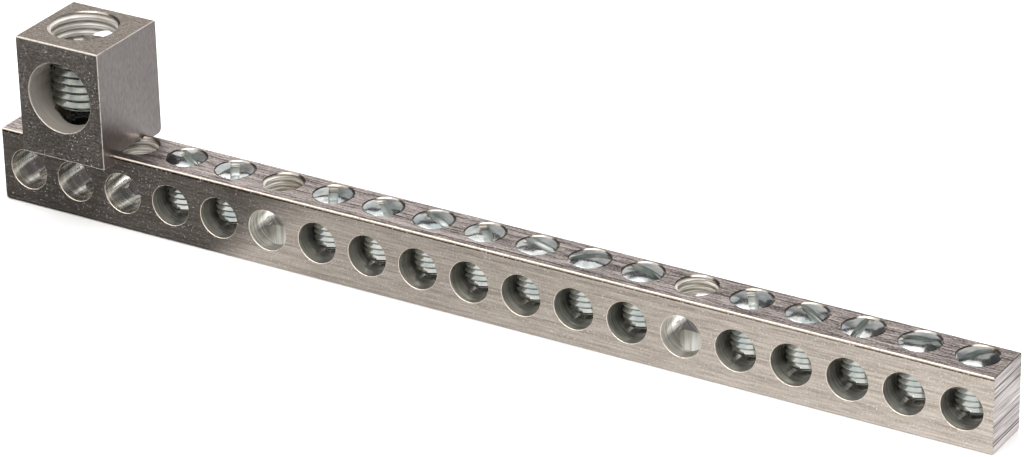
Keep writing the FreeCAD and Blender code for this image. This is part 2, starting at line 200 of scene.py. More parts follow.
def extruded_aluminium(name, pale, deep, fleck, sparse, grain, across, streaks, pits, mottle=0.5, spread=0.3,
                       dark_line_z=None):
    """Satin drawn skin: warm grey, streaked along the bar, pitted and flecked, with or without a painted
    shade line.

    Sparse is the noise level where flecks begin. Grain holds the two streak lengths, across is their width,
    and streaks and pits are depths, all in millimetres. Mottle is the pits' share in the shade, and spread
    is how far the shade swings.
    """
    material, tree, shader, place = new_finish(name)
    drawn, die_line = (
        add(tree, "ShaderNodeTexNoise", add(tree, "ShaderNodeMapping", place,
            into={"Scale": per_metre(length, across, across)}), into={"Scale": 1.0, "Detail": 3.0})
        for length in grain)
    pit = add(tree, "ShaderNodeTexNoise", place, into={"Scale": per_metre(PIT_SIZE)[0], "Detail": 2.0})
    patch = add(tree, "ShaderNodeTexNoise", place, into={"Scale": per_metre(PATCH_SIZE)[0], "Detail": 3.0})
    wear = add(tree, "ShaderNodeMath", drawn, die_line, operation="ADD")
    wear = add(tree, "ShaderNodeMath", pit, mottle, wear, operation="MULTIPLY_ADD")
    middle = 1.0 + 0.5 * mottle  # each noise lies around a half
    shade = add(tree, "ShaderNodeMapRange", wear, middle - spread, middle + spread, 0.0, 1.0)
    # Painted shade: a thin dark line along the bar at this height
    if dark_line_z:
        height = add(tree, "ShaderNodeSeparateXYZ", place).node.outputs["Z"]
        off = add(tree, "ShaderNodeMath", height, -dark_line_z * MM, operation="ADD")
        off = add(tree, "ShaderNodeMath", off, operation="ABSOLUTE")
        clear = add(tree, "ShaderNodeMapRange", off, 0.2 * DARK_LINE_WIDTH * MM, DARK_LINE_WIDTH * MM,
                    DARK_LINE_SHADE, 0.0)
        shade = add(tree, "ShaderNodeMath", shade, clear, operation="ADD")
    tint = add(tree, "ShaderNodeMix", data_type="RGBA", clamp_factor=False,
               into={0: shade, 6: linear(deep), 7: linear(pale)}).node.outputs[2]
    speck = add(tree, "ShaderNodeTexNoise", place, into={"Scale": per_metre(FLECK_SIZE)[0], "Detail": 2.0})
    bare = add(tree, "ShaderNodeMapRange", speck, sparse, sparse + FLECK_RIM, 0.0, 1.0)
    tint = add(tree, "ShaderNodeMix", data_type="RGBA",
               into={0: bare, 6: tint, 7: linear(fleck)}).node.outputs[2]
    tree.links.new(tint, shader.inputs["Base Color"])
    metal = add(tree, "ShaderNodeMapRange", bare, 0.0, 1.0, 1.0, FLECK_METAL)
    tree.links.new(metal, shader.inputs["Metallic"])
    gloss = add(tree, "ShaderNodeMapRange", patch, NOISE_LOW, NOISE_HIGH, SATIN_GLOSS, SATIN_DULL)
    tree.links.new(gloss, shader.inputs["Roughness"])
    relief = add(tree, "ShaderNodeMath", drawn, streaks, operation="MULTIPLY")
    relief = add(tree, "ShaderNodeMath", die_line, streaks, relief, operation="MULTIPLY_ADD")
    relief = add(tree, "ShaderNodeMath", pit, pits, relief, operation="MULTIPLY_ADD")
    bump = add(tree, "ShaderNodeBump", into={"Strength": 1.0, "Distance": MM, "Height": relief})
    tree.links.new(bump, shader.inputs["Normal"])
    return material


bar_skin = extruded_aluminium("extruded_aluminium_bar", "cbc1b6", "9c9186", "d3cfd0", 0.618, (4.0, 160.0),
                              0.3, streaks=0.022, pits=0.03, dark_line_z=bar_high.z - DARK_LINE_DROP)
bar_top = extruded_aluminium("scuffed_aluminium_top", "d6c9c3", "4e4441", "e6dcd8", 0.67, (2.4, 40.0), 0.28,
                             streaks=0.08, pits=0.06, mottle=0.7, spread=0.24)
lug_skin = extruded_aluminium("extruded_aluminium_lug", "cfc6bd", "978d85", "d8d4d2", 0.628, (0.5, 1.4), 0.3,
                              streaks=0.02, pits=0.06, mottle=0.6, spread=0.3)
# The lug's top is its own skin painted darker: painted shade
lug_top = extruded_aluminium("shaded_aluminium_lug_top", "998e83", "62584e", "d0c6ba", 0.66, (0.5, 1.4), 0.3,
                             streaks=0.02, pits=0.08, mottle=0.8, spread=0.3)
print("finishes:", bar_skin.name, bar_top.name, lug_skin.name, lug_top.name)

# %% [markdown]
# ## Worn and highlit edges
# Handling rubs the sharp edges bright, but not evenly: the bare metal is broken by dull spots. So the
# eased edges get their own finish, which mixes bare bright metal with the dull skin along the edge. A pure
# mirror this narrow would vanish wherever it shows the same as the face beside it. So an edge is only
# partly metallic, on the lug least of all, and catches the light from every side. Its pale colour is partly
# wear and partly a painted highlight, on the eased edges and on the mouths of the cross holes.

# %% Worn edge finish
# The edge finish is partly wear and partly a painted highlight
EDGE_SPOT, EDGE_ROUGHNESS = 0.5, 0.45
RUB_LIT_START, RUB_LIT_FULL = 0.26, 0.44
BURR_HEIGHT = 0.05


def worn_highlit_edge(name, bright, dull, metallic):
    """Bare bright metal broken by dull spots, fuzzy with small burrs, so that it shows from every side:
    partly wear, partly painted highlight.
    """
    material, tree, shader, place = new_finish(name, metallic)
    spot = add(tree, "ShaderNodeTexNoise", place, into={"Scale": per_metre(EDGE_SPOT)[0], "Detail": 4.0})
    rubbed_and_lit = add(tree, "ShaderNodeMapRange", spot, RUB_LIT_START, RUB_LIT_FULL, 0.0, 1.0)
    tint = add(tree, "ShaderNodeMix", data_type="RGBA",
               into={0: rubbed_and_lit, 6: linear(dull), 7: linear(bright)}).node.outputs[2]
    tree.links.new(tint, shader.inputs["Base Color"])
    shader.inputs["Roughness"].default_value = EDGE_ROUGHNESS
    bump = add(tree, "ShaderNodeBump", into={"Strength": 1.0, "Distance": BURR_HEIGHT * MM, "Height": spot})
    tree.links.new(bump, shader.inputs["Normal"])
    return material


# Pale edge colours: partly wear, partly a painted highlight
bar_edge = worn_highlit_edge("worn_highlit_aluminium_edge", "f1e4d4", "aea396", 0.6)
lug_edge = worn_highlit_edge("handled_highlit_aluminium_edge", "cfc6bb", "6f675f", 0.4)
print("finishes:", bar_edge.name, lug_edge.name)

# %% [markdown]
# ## Sawn aluminium
# The bar's ends and the lug's sides were cut by a saw, whose teeth leave close parallel scores. The bar's
# end also carries a few deep ones, which show as dark lines, and these are placed by their height.

# %% Sawn aluminium finish
DEEP_SCORES = (10.1, 8.7, 4.3, 1.8, 1.3)
SCORE_WIDTH = 0.2
TOOTH_SHADE = 0.2


def sawn_aluminium(name, pale, deep, stroke, roughness, relief, scores=()):
    """Close parallel saw scores, with deep dark ones at the given heights.

    Stroke is the size of a score in millimetres along X, Y and Z, and relief is its depth.
    """
    material, tree, shader, place = new_finish(name)
    teeth = add(tree, "ShaderNodeTexNoise", add(tree, "ShaderNodeMapping", place,
                into={"Scale": per_metre(*stroke)}), into={"Scale": 1.0, "Detail": 4.0})
    shade = add(tree, "ShaderNodeMapRange", teeth, NOISE_LOW, NOISE_HIGH, TOOTH_SHADE, 1.0)
    height = add(tree, "ShaderNodeSeparateXYZ", place).node.outputs["Z"]
    for score in scores:
        off = add(tree, "ShaderNodeMath", height, -score * MM, operation="ADD")
        off = add(tree, "ShaderNodeMath", off, operation="ABSOLUTE")
        clear = add(tree, "ShaderNodeMapRange", off, 0.3 * SCORE_WIDTH * MM, 0.8 * SCORE_WIDTH * MM,
                    0.0, 1.0)
        shade = add(tree, "ShaderNodeMath", shade, clear, operation="MULTIPLY")
    tint = add(tree, "ShaderNodeMix", data_type="RGBA",
               into={0: shade, 6: linear(deep), 7: linear(pale)}).node.outputs[2]
    tree.links.new(tint, shader.inputs["Base Color"])
    shader.inputs["Roughness"].default_value = roughness
    bump = add(tree, "ShaderNodeBump", into={"Strength": 1.0, "Distance": relief * MM, "Height": shade})
    tree.links.new(bump, shader.inputs["Normal"])
    return material


sawn_end = sawn_aluminium("sawn_aluminium_end", "dad1cf", "3c3535", (3.0, 6.0, 0.25), 0.34, 0.03, DEEP_SCORES)
sawn_side = sawn_aluminium("sawn_aluminium_side", "b2aaa9", "928a89", (3.0, 0.25, 0.9), 0.32, 0.012)
print("finishes:", sawn_end.name, sawn_side.name)

# %% [markdown]
# ## Drilled and tapped aluminium
# A drill leaves a brighter wall than the die does, with faint rings around the hole where the lips cut.
# The holes by the lug stayed clean and shine, and the others have dulled. The tap's fresh threads are the
# palest metal on the bar, crossed by thin dark lines, two to a turn: painted shade for the dark roots
# between the thread's crests. The lug's wide bore is a matt grey, and the chamfered rims of the tapped holes
# mirror the room. All are the same recipe with rings of another width, so one function makes them. The
# rings are drawn about twice as wide as real ones, which would be too fine to show.

# %% Cut aluminium finishes
INCH = 25.4
CLAMP_PITCH, LUG_PITCH = INCH / 28, INCH / 20
DRILL_RINGS, TAP_RINGS, RIM_RINGS = (7.0, 0.34, 7.0), (5.0, 5.0, 0.9), (5.0, 5.0, 0.3)
RING_DEPTH = 0.02
# Painted shade: below this level of the wave the tapped threads are darkened in lines
SHADE_LINE_BELOW = -0.6
POLISH_END, DULL_START = -57.5, -56.0


def cut_aluminium(name, pale, deep, rings, roughness, metallic, polish=None, lines=None):
    """Cut wall, ringed around the hole by the tool, and the less metallic, the more matt.

    Rings are the pattern's sizes in millimetres along X, Y and Z. Polish is the roughness that the wall keeps
    by the lug, and lines are the millimetres between the thin dark lines of painted shade along the threads.
    """
    material, tree, shader, place = new_finish(name, metallic)
    shader.inputs["Roughness"].default_value = roughness
    if polish:
        along = add(tree, "ShaderNodeSeparateXYZ", place)
        for socket, by_lug, far_off in (("Roughness", polish, roughness), ("Metallic", 1.0, metallic)):
            value = add(tree, "ShaderNodeMapRange", along, POLISH_END * MM, DULL_START * MM, by_lug, far_off)
            tree.links.new(value, shader.inputs[socket])
    ring = add(tree, "ShaderNodeTexNoise", add(tree, "ShaderNodeMapping", place,
               into={"Scale": per_metre(*rings)}), into={"Scale": 1.0, "Detail": 3.0})
    shade = add(tree, "ShaderNodeMapRange", ring, NOISE_LOW, NOISE_HIGH, 0.0, 1.0)
    # Painted shade: thin dark lines along the threads, two to a turn, for the dark roots between crests
    if lines:
        height = add(tree, "ShaderNodeSeparateXYZ", place).node.outputs["Z"]
        phase = add(tree, "ShaderNodeMath", height, 2 * math.pi / (lines * MM), operation="MULTIPLY")
        wave = add(tree, "ShaderNodeMath", phase, operation="SINE")
        clear = add(tree, "ShaderNodeMapRange", wave, -1.0, SHADE_LINE_BELOW, 0.0, 1.0)
        shade = add(tree, "ShaderNodeMath", shade, clear, operation="MULTIPLY")
    tint = add(tree, "ShaderNodeMix", data_type="RGBA",
               into={0: shade, 6: linear(deep), 7: linear(pale)}).node.outputs[2]
    tree.links.new(tint, shader.inputs["Base Color"])
    bump = add(tree, "ShaderNodeBump", into={"Strength": 1.0, "Distance": RING_DEPTH * MM, "Height": ring})
    tree.links.new(bump, shader.inputs["Normal"])
    return material


drilled = cut_aluminium("drilled_aluminium", "eceae3", "aeaca3", DRILL_RINGS, 0.32, 0.9, polish=0.17)
bored = cut_aluminium("matt_bored_aluminium", "c4beb4", "b0a9a0", DRILL_RINGS, 0.5, 0.55)
# Both tapped finishes carry painted shade lines, two to a thread turn
tapped = cut_aluminium("tapped_aluminium", "fffcf5", "857a69", TAP_RINGS, 0.45, 0.12, lines=CLAMP_PITCH / 2)
lug_tapped = cut_aluminium("tapped_aluminium_lug", "fffcf7", "b8b1a7", TAP_RINGS, 0.4, 0.1,
                           lines=LUG_PITCH / 2)
countersunk = cut_aluminium("countersunk_aluminium", "c6beb4", "8d867c", RIM_RINGS, 0.2, 1.0)
print("finishes:", drilled.name, bored.name, tapped.name, lug_tapped.name, countersunk.name)

# %% [markdown]
# ## Bright zinc plate
# The screws are steel, plated with zinc and dipped, which gives a hard cool shine with a faint drift of
# blue-green. The drift follows a soft noise a couple of millimetres across, and a finer one varies the
# gloss, so that no two screw heads mirror the room alike. Shallow dents bend what the domes mirror. The
# sawn slots are duller, the rolled threads are smooth, and the lug screw's thread is the darkest.

# %% Zinc plate finish
DRIFT_SIZE, GRAIN_SIZE, DENT_SIZE = 2.2, 0.3, 1.8
DRIFT_LOW, DRIFT_HIGH = 0.35, 0.65
GRAIN_DEPTH = 0.004


def zinc_plate(name, cool, warm, gloss, dull, dents=0.0, metallic=1.0):
    """Cool plate with a faint blue-green drift, mirror-like where its roughness is low.

    Gloss and dull are the lowest and highest roughness, and dents is their depth in millimetres.
    """
    material, tree, shader, place = new_finish(name, metallic)
    drift = add(tree, "ShaderNodeTexNoise", place, into={"Scale": per_metre(DRIFT_SIZE)[0], "Detail": 2.0})
    grain = add(tree, "ShaderNodeTexNoise", place, into={"Scale": per_metre(GRAIN_SIZE)[0], "Detail": 3.0})
    dent = add(tree, "ShaderNodeTexNoise", place, into={"Scale": per_metre(DENT_SIZE)[0], "Detail": 0.0})
    tint = add(tree, "ShaderNodeMix", data_type="RGBA", into={
        0: add(tree, "ShaderNodeMapRange", drift, DRIFT_LOW, DRIFT_HIGH, 0.0, 1.0),
        6: linear(cool), 7: linear(warm)}).node.outputs[2]
    tree.links.new(tint, shader.inputs["Base Color"])
    shine = add(tree, "ShaderNodeMapRange", grain, NOISE_LOW, NOISE_HIGH, gloss, dull)
    tree.links.new(shine, shader.inputs["Roughness"])
    relief = add(tree, "ShaderNodeMath", dent, dents, operation="MULTIPLY")
    relief = add(tree, "ShaderNodeMath", grain, GRAIN_DEPTH, relief, operation="MULTIPLY_ADD")
    bump = add(tree, "ShaderNodeBump", into={"Strength": 1.0, "Distance": MM, "Height": relief})
    tree.links.new(bump, shader.inputs["Normal"])
    return material


zinc = zinc_plate("bright_zinc_plate", "8f9697", "b8b7b3", 0.1, 0.2, dents=0.16)
slot_zinc = zinc_plate("sawn_zinc_slot", "9fa7a4", "b4b8b4", 0.28, 0.42, metallic=0.6)
rolled = zinc_plate("oily_zinc_thread", "8f9593", "aeada7", 0.12, 0.22)
lug_thread = zinc_plate("dull_zinc_thread", "636866", "94958e", 0.16, 0.3, dents=0.08)
print("finishes:", zinc.name, slot_zinc.name, rolled.name, lug_thread.name)

# %% [markdown]
# ## Geometry trees
# The screws, the bar and the lug come out of Geometry Nodes trees, because threads and rows of holes follow
# rules. A tree is run on a starting mesh as a modifier, and its result is kept as a plain mesh. Inside the
# tree each form is marked with the number of its finish. The marks stay on the faces through every boolean,
# and the tree's last nodes turn them into materials.

# %% From a tree to a plain mesh
MARK = "finish_number"
CREASE = 28


def new_tree(name, inputs):
    """Geometry tree with named inputs, and its input sockets."""
    tree = bpy.data.node_groups.new(name, "GeometryNodeTree")
    for label, kind in {"Geometry": "Geometry", **inputs}.items():
        tree.interface.new_socket(label, in_out="INPUT", socket_type=f"NodeSocket{kind}")
    tree.interface.new_socket("Geometry", in_out="OUTPUT", socket_type="NodeSocketGeometry")
    return tree, tree.nodes.new("NodeGroupInput").outputs


def marked(tree, form, number):
    """Notes on a form's faces the number of the finish that they will get."""
    return add(tree, "GeometryNodeStoreNamedAttribute", form, None, MARK, number, data_type="INT",
               domain="FACE")


def with_finishes(tree, form, finishes):
    """Gives every face the finish whose number it was marked with."""
    mark = add(tree, "GeometryNodeInputNamedAttribute", MARK, data_type="INT")
    for number, finish in enumerate(finishes):
        chosen = add(tree, "FunctionNodeCompare", mark, float(number), operation="EQUAL")
        form = add(tree, "GeometryNodeSetMaterial", form, chosen, finish)
    return form


def to_metres_with_creases(tree, mesh, thread_number):
    """Shrinks millimetres to metres and shades smooth, with crisp edges everywhere but on the thread."""
    small = add(tree, "GeometryNodeTransform", mesh, into={"Scale": (MM, MM, MM)})
    smooth = add(tree, "GeometryNodeSetShadeSmooth", small, domain="FACE", into={"Shade Smooth": True})
    angle = add(tree, "GeometryNodeInputMeshEdgeAngle")
    sharp = add(tree, "FunctionNodeCompare", angle, math.radians(CREASE), operation="GREATER_THAN")
    mark = add(tree, "GeometryNodeInputNamedAttribute", MARK, data_type="INT")
    number = add(tree, "GeometryNodeFieldOnDomain", mark, domain="EDGE", data_type="FLOAT")
    # An edge's number is the mean of its two faces', and only inside the thread both are the thread's
    plain = add(tree, "FunctionNodeCompare", number, thread_number - 0.1, operation="LESS_THAN")
    sharp = add(tree, "FunctionNodeBooleanMath", sharp, plain, operation="AND")
    return add(tree, "GeometryNodeSetShadeSmooth", smooth, sharp, domain="EDGE", into={"Shade Smooth": False})


def make_piece(name, start, tree, sizes):
    """Runs a tree on a starting mesh with its inputs set, and keeps the result as a plain mesh."""
    piece = bpy.data.objects.new(name, start)
    bpy.context.scene.collection.objects.link(piece)
    modifier = piece.modifiers.new(tree.name, "NODES")
    modifier.node_group = tree
    for item in tree.interface.items_tree:
        if item.in_out == "INPUT" and item.name in sizes:
            modifier[item.identifier] = sizes[item.name]
    depsgraph = bpy.context.evaluated_depsgraph_get()
    mesh = bpy.data.meshes.new_from_object(piece.evaluated_get(depsgraph), depsgraph=depsgraph)
    piece.modifiers.remove(modifier)
    mesh.attributes.remove(mesh.attributes[MARK])
    piece.data = mesh
    mesh.calc_loop_triangles()
    print(name, len(mesh.loop_triangles), "triangles")
    return piece


print("edges are crisp from", CREASE, "degrees")

# %% [markdown]
# ## A thread
# A screw thread is a ridge that climbs a core. In Geometry Nodes the core is a cylinder, the ridge is a
# small four-cornered section swept along a spiral, and a boolean joins them. The same ridge on a larger
# core is the tap that cuts the holes, so a screw and its hole always run in step. Unified inch threads have
# 60 degree flanks and a flat crest. The crest is drawn a little wider than the eighth of a pitch that the
# standard gives, so that it shows.

# %% Threads as Geometry Nodes
TURN_STEPS = 48
SCREW_DEPTH, TAP_DEPTH = 0.6, 0.42
SCREW_CREST, TAP_CREST = 0.2, 0.16
FLANK, RIDGE_SUNK = 30, 0.06
RIDGE_CORNERS = ("Foot low", "Crest low", "Crest high", "Foot high")
THREAD_INPUTS = {"Core radius": "Float", "Core length": "Float", "Core middle": "Vector", "Turns": "Float",
                 "Thread length": "Float", "Thread start": "Vector", **dict.fromkeys(RIDGE_CORNERS, "Vector")}


def threaded_rod(tree, given):
    """Core and ridge joined, on the Z axis."""
    core = add(tree, "GeometryNodeMeshCylinder", TURN_STEPS, 1, 1, given["Core radius"], given["Core length"])
    core = add(tree, "GeometryNodeTransform", core, given["Core middle"])
    spiral = add(tree, "GeometryNodeCurveSpiral", TURN_STEPS, given["Turns"], given["Core radius"],
                 given["Core radius"], given["Thread length"], True)
    upright = add(tree, "GeometryNodeSetCurveNormal", spiral, mode="Z_UP")
    section = add(tree, "GeometryNodeCurvePrimitiveQuadrilateral", mode="POINTS", into={
        f"Point {i}": given[corner] for i, corner in enumerate(RIDGE_CORNERS, start=1)})
    ridge = add(tree, "GeometryNodeCurveToMesh", into={
        "Curve": upright, "Profile Curve": section, "Fill Caps": True})
    ridge = add(tree, "GeometryNodeTransform", ridge, given["Thread start"])
    return add(tree, "GeometryNodeMeshBoolean", into={"Mesh 2": [core, ridge]},
               operation="UNION", solver="MANIFOLD")


def thread_sizes(radius, pitch, low, high, step_z, depth=SCREW_DEPTH, crest=SCREW_CREST):
    """Inputs of a thread of this outside radius between two heights, in step with height step_z.

    Depth and crest are shares of the pitch.
    """
    depth *= pitch
    crest *= pitch
    sunk = RIDGE_SUNK * pitch
    foot = crest + 2 * (depth + sunk) * math.tan(math.radians(FLANK))
    start = step_z - pitch * math.ceil((step_z - low) / pitch + 1)
    turns = math.ceil((high - start) / pitch + 1)
    return {"Core radius": radius - depth, "Core length": high - low + 2 * pitch,
            "Core middle": (0, 0, (low + high) / 2), "Turns": float(turns), "Thread length": turns * pitch,
            "Thread start": (0, 0, start), "Foot low": (-sunk, -foot / 2, 0),
            "Crest low": (depth, -crest / 2, 0), "Crest high": (depth, crest / 2, 0),
            "Foot high": (-sunk, foot / 2, 0)}


print(f"clamp thread {CLAMP_PITCH:.3f} mm, lug thread {LUG_PITCH:.3f} mm a turn")

# %% [markdown]
# ## Screws
# A screw is cut from the threaded rod as on a lathe: a cone turns the tip, a second one the lead at the
# top, a ball domes the end, and a flat cutter saws the slot. A short cylinder adds the head of the one
# screw that has one. All the screws share this tree, with three finishes: plate on the turned faces, a
# duller one in the slot and the rolled thread's own.

# %% The screw tree
SCREW_FINISHES = ("Plated", "Slot", "Thread")
SCREW_INPUTS = {**THREAD_INPUTS, "Tip radius": "Float", "Tip foot": "Vector", "Lead radius": "Float",
                "Lead foot": "Vector", "Cone length": "Float", "Ball radius": "Float",
                "Ball middle": "Vector", "Slot size": "Vector", "Slot middle": "Vector",
                "Slot turn": "Rotation", "Head radius": "Float", "Head height": "Float",
                "Head middle": "Vector", "Axis": "Vector", **dict.fromkeys(SCREW_FINISHES, "Material")}


def screw_tree():
    """Tree that turns, domes and slots a threaded rod, and sets it on its axis."""
    tree, given = new_tree("screw", SCREW_INPUTS)
    thread_number = SCREW_FINISHES.index("Thread")
    rod = marked(tree, threaded_rod(tree, given), thread_number)
    wide_tip = add(tree, "ShaderNodeMath", given["Tip radius"], given["Cone length"], operation="ADD")
    tip = add(tree, "GeometryNodeMeshCone", TURN_STEPS, 1, 1, wide_tip, given["Tip radius"],
              given["Cone length"])
    tip = add(tree, "GeometryNodeTransform", tip, given["Tip foot"])
    wide_lead = add(tree, "ShaderNodeMath", given["Lead radius"], given["Cone length"], operation="ADD")
    lead = add(tree, "GeometryNodeMeshCone", TURN_STEPS, 1, 1, given["Lead radius"], wide_lead,
               given["Cone length"])
    lead = add(tree, "GeometryNodeTransform", lead, given["Lead foot"])
    ball = add(tree, "GeometryNodeMeshUVSphere", TURN_STEPS, 2 * TURN_STEPS, given["Ball radius"])
    ball = add(tree, "GeometryNodeTransform", ball, given["Ball middle"])
    turned = add(tree, "GeometryNodeMeshBoolean", into={"Mesh 2": [rod, tip, lead, ball]},
                 operation="INTERSECT", solver="MANIFOLD")
    head = add(tree, "GeometryNodeMeshCylinder", TURN_STEPS, 1, 1, given["Head radius"], given["Head height"])
    head = add(tree, "GeometryNodeTransform", head, given["Head middle"])
    headed = add(tree, "GeometryNodeMeshBoolean", into={"Mesh 2": [turned, head]},
                 operation="UNION", solver="MANIFOLD")
    slot = add(tree, "GeometryNodeMeshCube", given["Slot size"])
    slot = add(tree, "GeometryNodeTransform", slot, given["Slot middle"], given["Slot turn"])
    slot = marked(tree, slot, SCREW_FINISHES.index("Slot"))
    slotted = add(tree, "GeometryNodeMeshBoolean", into={"Mesh 1": headed, "Mesh 2": slot},
                  operation="DIFFERENCE", solver="MANIFOLD")
    placed = add(tree, "GeometryNodeTransform", slotted, given["Axis"])
    shaded = to_metres_with_creases(tree, placed, thread_number)
    real = add(tree, "GeometryNodeRealizeInstances", shaded)
    add(tree, "NodeGroupOutput", with_finishes(tree, real, [given[finish] for finish in SCREW_FINISHES]))
    return tree


screws = screw_tree()
print("screw tree:", len(screws.nodes), "nodes")

# %% [markdown]
# The clamp screws end in a shallow dome, whose rim stands just under the bar's top. A ball of the right
# radius gives that dome: it passes through the rim and rises by the dome's height. Each clamp screw gets
# its own slot direction, as it was left after tightening, and rides on its own body. Its head is a speck
# inside the core, where it changes nothing.

# %% The clamp screws
SLOT_ANGLES = {4: -33, 5: -57, 7: -58, 8: -43, 9: -22, 10: -49, 11: -12,
               12: 37, 13: -14, 15: -56, 16: -32, 17: 92, 18: 6, 19: 58}
DOME_RISE, DOME_INSET = 0.55, 0.06
TIP_CHAMFER = 0.8
SLOT_WIDTH, SLOT_DEPTH = 1.4, 1.5
SLOT_HEADROOM = 2.0
HIDDEN_HEAD = 0.2


def slot_sizes(width, depth, top, radius, angle):
    """Inputs of a slot right across a screw of this radius, sawn down from its top."""
    return {"Slot size": (2 * radius + SLOT_HEADROOM, width, depth + SLOT_HEADROOM),
            "Slot middle": (0, 0, top + (SLOT_HEADROOM - depth) / 2),
            "Slot turn": (0, 0, math.radians(angle))}


def clamp_screw(number):
    """Makes the clamp screw of this hole, in place of its solid."""
    node = f"terminal_screw_{number:02d}"
    low, high = box_mm(node)
    radius = (high.y - low.y) / 2
    rim = radius - DOME_INSET
    ball = (rim ** 2 + DOME_RISE ** 2) / (2 * DOME_RISE)
    top = high.z + ball - math.sqrt(ball ** 2 - (SLOT_WIDTH / 2) ** 2)
    length = top - low.z
    sizes = {**thread_sizes(radius, CLAMP_PITCH, low.z, top, low.z),
             **slot_sizes(SLOT_WIDTH, SLOT_DEPTH, top, radius, SLOT_ANGLES[number]),
             "Tip radius": radius - TIP_CHAMFER, "Tip foot": (0, 0, low.z),
             "Lead radius": rim - DOME_RISE - DOME_INSET, "Cone length": length + 2 * radius,
             "Lead foot": (0, 0, top + DOME_INSET - length - 2 * radius),
             "Ball radius": ball, "Ball middle": (0, 0, top - ball),
             "Head radius": HIDDEN_HEAD, "Head height": HIDDEN_HEAD,
             "Head middle": (0, 0, (low.z + top) / 2),
             "Axis": (hole_x(number), 0, 0), "Plated": zinc, "Slot": slot_zinc, "Thread": rolled}
    screw = make_piece(f"clamp_screw_{number:02d}", bpy.data.meshes.new(node), screws, sizes)
    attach(screw, node)
    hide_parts(node)


for number in SLOT_ANGLES:
    clamp_screw(number)

# %% [markdown]
# The lug's big screw has a flat end, sunk deep in the lug, so its ball is simply large enough to cut
# nothing. The fixing screw under it is the only one with a head: it holds the lug down on the bar, and
# just its tip shows in the roof of the second wire hole.

# %% The lug screw and its fixing screw
LUG_TIP_CHAMFER, LUG_TOP_CHAMFER = 0.9, 0.5
LUG_SLOT_WIDTH, LUG_SLOT_DEPTH, LUG_SLOT_ANGLE = 1.8, 2.2, 140
FIXING_HEAD, FIXING_SLOT_DEPTH, FIXING_TOP_CHAMFER = 1.5, 0.8, 0.1
NO_CUT = 60.0


def flat_screw(name, node, body, radius, pitch, tip_chamfer, top_chamfer, head, step_z, thread):
    """Makes a screw with a flat top, in place of its solid. Head is its head's height, or None."""
    low, high = box_mm(node)
    middle = (low + high) / 2
    top = high.z
    cone = high.z - low.z + 4 * radius
    head_r = (high.y - low.y) / 2
    slot = (slot_sizes(SLOT_WIDTH, FIXING_SLOT_DEPTH, top, head_r, 0) if head
            else slot_sizes(LUG_SLOT_WIDTH, LUG_SLOT_DEPTH, top, radius, LUG_SLOT_ANGLE))
    sizes = {**thread_sizes(radius, pitch, low.z, top, step_z), **slot,
             "Tip radius": radius - tip_chamfer, "Tip foot": (0, 0, low.z),
             "Lead radius": radius - top_chamfer, "Cone length": cone, "Lead foot": (0, 0, top - cone),
             "Ball radius": NO_CUT, "Ball middle": (0, 0, middle.z),
             "Head radius": head_r if head else HIDDEN_HEAD, "Head height": head or HIDDEN_HEAD,
             "Head middle": (0, 0, top - head / 2 if head else middle.z),
             "Axis": (middle.x, middle.y, 0), "Plated": zinc, "Slot": slot_zinc, "Thread": thread}
    screw = make_piece(name, bpy.data.meshes.new(node), screws, sizes)
    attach(screw, body)
    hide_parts(node)


set_low, set_high = box_mm("lug_set_screw")
SET_R = (set_high.y - set_low.y) / 2
clamp_low, clamp_high = box_mm("terminal_screw_04")
CLAMP_R = (clamp_high.y - clamp_low.y) / 2
flat_screw("lug_screw", "lug_set_screw", "lug_set_screw", SET_R, LUG_PITCH,
           LUG_TIP_CHAMFER, LUG_TOP_CHAMFER, None, set_low.z, lug_thread)
flat_screw("fixing_screw", "lug_fixing_screw", "bar", CLAMP_R, CLAMP_PITCH,
           TIP_CHAMFER, FIXING_TOP_CHAMFER, FIXING_HEAD, clamp_low.z, rolled)

# %% [markdown]
# ## The bar and the lug
# Both start as a length of extruded section with eased edges, made as a plain mesh. A geometry tree then
# does the workshop's part: a drill goes across, a tap comes down from above, and countersinks ease the
# mouths. Each tool is marked with its finish, and the boolean leaves that mark on the wall that it cuts. At
# the end, flat faces that look along the bar get the sawn finish, and those that look up or down the top's.

# %% Extruded blocks
BLOCK_FINISHES = ("Skin", "Worn and lit edge", "Tap rim", "Drilled", "Tapped")
EDGE_STEPS = 5
END_EDGE = 0.1
# Eased edges up to this radius take the edge finish: partly wear, partly a painted highlight
HIGHLIT_WEAR_RADIUS = 0.4


def rounded(corners, inset=0.0):
    """Outline through square corners, each (y, z, radius), with an arc at each, drawn in by inset."""
    points, on_arc = [], []
    for i, (y, z, radius) in enumerate(corners):
        here = Vector((y, z))
        arrive = (here - Vector(corners[i - 1][:2])).normalized()
        leave = (Vector(corners[(i + 1) % len(corners)][:2]) - here).normalized()
        here += (arrive.orthogonal() + leave.orthogonal()) * inset
        arc = radius - inset
        centre = here + (leave - arrive) * arc
        for step in range(EDGE_STEPS + 1) if radius else (0,):
            angle = math.radians(90) * step / EDGE_STEPS
            bend = (arrive * math.sin(angle) - leave * math.cos(angle)) * arc
            points.append(centre + bend if radius else here)
            on_arc.append(step > 0 and radius <= HIGHLIT_WEAR_RADIUS)
    return points, on_arc


